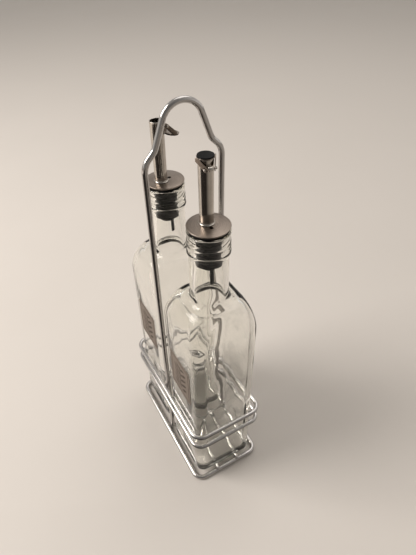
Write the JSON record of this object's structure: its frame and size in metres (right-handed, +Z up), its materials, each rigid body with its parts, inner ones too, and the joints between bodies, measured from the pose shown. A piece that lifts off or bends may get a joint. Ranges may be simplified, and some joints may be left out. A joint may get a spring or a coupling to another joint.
{
  "type": "cruet set",
  "caption": "Oil and vinegar cruet set: square glass bottles with flip-cap steel pourers on ribbed stoppers, standing in a chrome wire rack with a tall arched carrying handle.",
  "frame": {"origin": "on the table, at the centre of the rack's base loop", "axes": "+Z up; +X along the rack, towards the near bottle; +Y across the rack, away from the labels"},
  "size_m": [0.137, 0.072, 0.3491],
  "materials": {
    "chrome_wire": "bright chrome plating on steel wire",
    "glass": "clear, with a faint green tint where it is thick",
    "label": "matt printed film",
    "rubber": "matt black",
    "black_plastic": "semi-gloss black",
    "steel": "satin, faintly brushed round"
  },
  "bodies": {
    "rack": {"base_loop": "chrome_wire", "lower_ring": "chrome_wire", "upper_ring": "chrome_wire", "handle": "chrome_wire", "left_base_wire": "chrome_wire", "right_base_wire": "chrome_wire"},
    "near_bottle": {"near_bottle": "glass", "near_label": "label"},
    "near_pourer": {"near_stopper": "rubber", "near_air_tube": "black_plastic", "near_flange": "steel", "near_spout": "steel", "near_hinge_pin": "steel"},
    "near_flap": {"near_flap": "steel", "near_flap_cap": "black_plastic"},
    "far_bottle": {"far_bottle": "glass", "far_label": "label"},
    "far_pourer": {"far_stopper": "rubber", "far_air_tube": "black_plastic", "far_flange": "steel", "far_spout": "steel", "far_hinge_pin": "steel"},
    "far_flap": {"far_flap": "steel", "far_flap_cap": "black_plastic"}
  },
  "joints": [
    {"name": "near_bottle_lift", "type": "slide", "parent": "rack", "child": "near_bottle", "axis": [0, 0, 1], "range_m": [0, 0.36]},
    {"name": "near_pourer_pull", "type": "slide", "parent": "near_bottle", "child": "near_pourer", "axis": [0, 0, 1], "range_m": [0, 0.05]},
    {"name": "near_flap_hinge", "type": "hinge", "parent": "near_pourer", "child": "near_flap", "pos_m": [0.03889, -0.00211, 0.318], "axis": [0.0872, 0.9962, 0], "range_deg": [0, 190]},
    {"name": "far_bottle_lift", "type": "slide", "parent": "rack", "child": "far_bottle", "axis": [0, 0, 1], "range_m": [0, 0.36]},
    {"name": "far_pourer_pull", "type": "slide", "parent": "far_bottle", "child": "far_pourer", "axis": [0, 0, 1], "range_m": [0, 0.05]},
    {"name": "far_flap_hinge", "type": "hinge", "parent": "far_pourer", "child": "far_flap", "pos_m": [-0.03595, 0.00296, 0.318], "axis": [-0.9877, -0.1564, 0], "range_deg": [-190, 0]}
  ]
}
